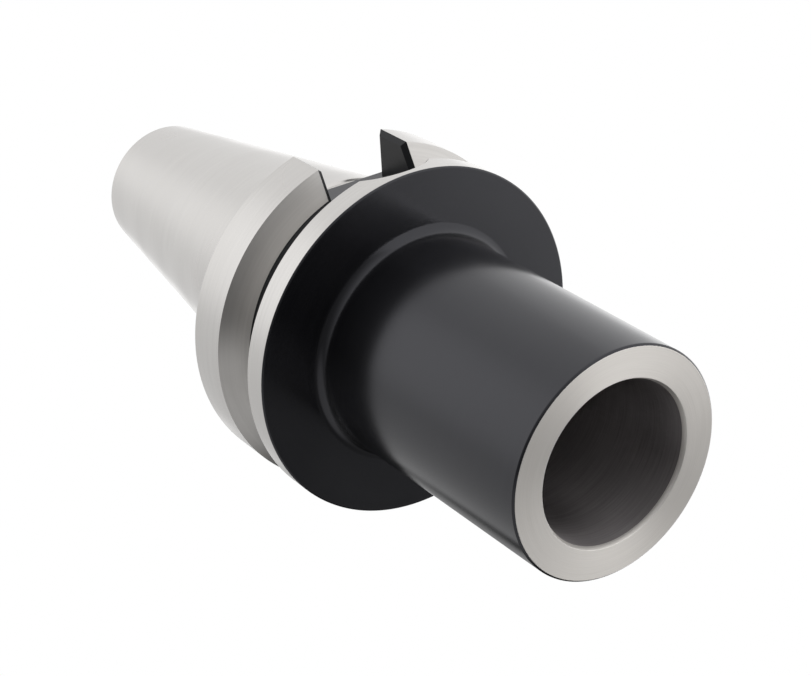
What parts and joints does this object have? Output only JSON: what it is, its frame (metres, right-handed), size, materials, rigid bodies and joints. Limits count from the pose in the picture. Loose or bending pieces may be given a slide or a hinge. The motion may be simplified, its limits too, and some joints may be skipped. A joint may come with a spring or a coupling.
{
  "type": "morse taper adapter holder",
  "caption": "Spindle adapter with a steep taper shank, a grooved drive flange and a round nose whose tapered socket takes a Morse shank, drawn in by a captive screw.",
  "frame": {"origin": "centre of the gauge circle, the large end of the spindle taper", "axes": "+Z along the axis towards the small end of the spindle taper, so the nose face is at the bottom; +X and -X through the drive slots"},
  "size_m": [0.1, 0.1, 0.2218],
  "materials": {
    "ground_steel": "ground bright on the tapers, lands and faces, black oxide on the nose, neck and slots",
    "black_oxide_steel": "black oxide, satin"
  },
  "bodies": {
    "holder": {"holder_body": "ground_steel", "retaining_ring": "black_oxide_steel"},
    "screw": {"draw_screw": "black_oxide_steel"}
  },
  "joints": [
    {"name": "draw_screw_turn", "type": "hinge", "parent": "holder", "child": "screw", "pos_m": [0, 0, 0.0273], "axis": [0, 0, 1], "continuous": true}
  ]
}
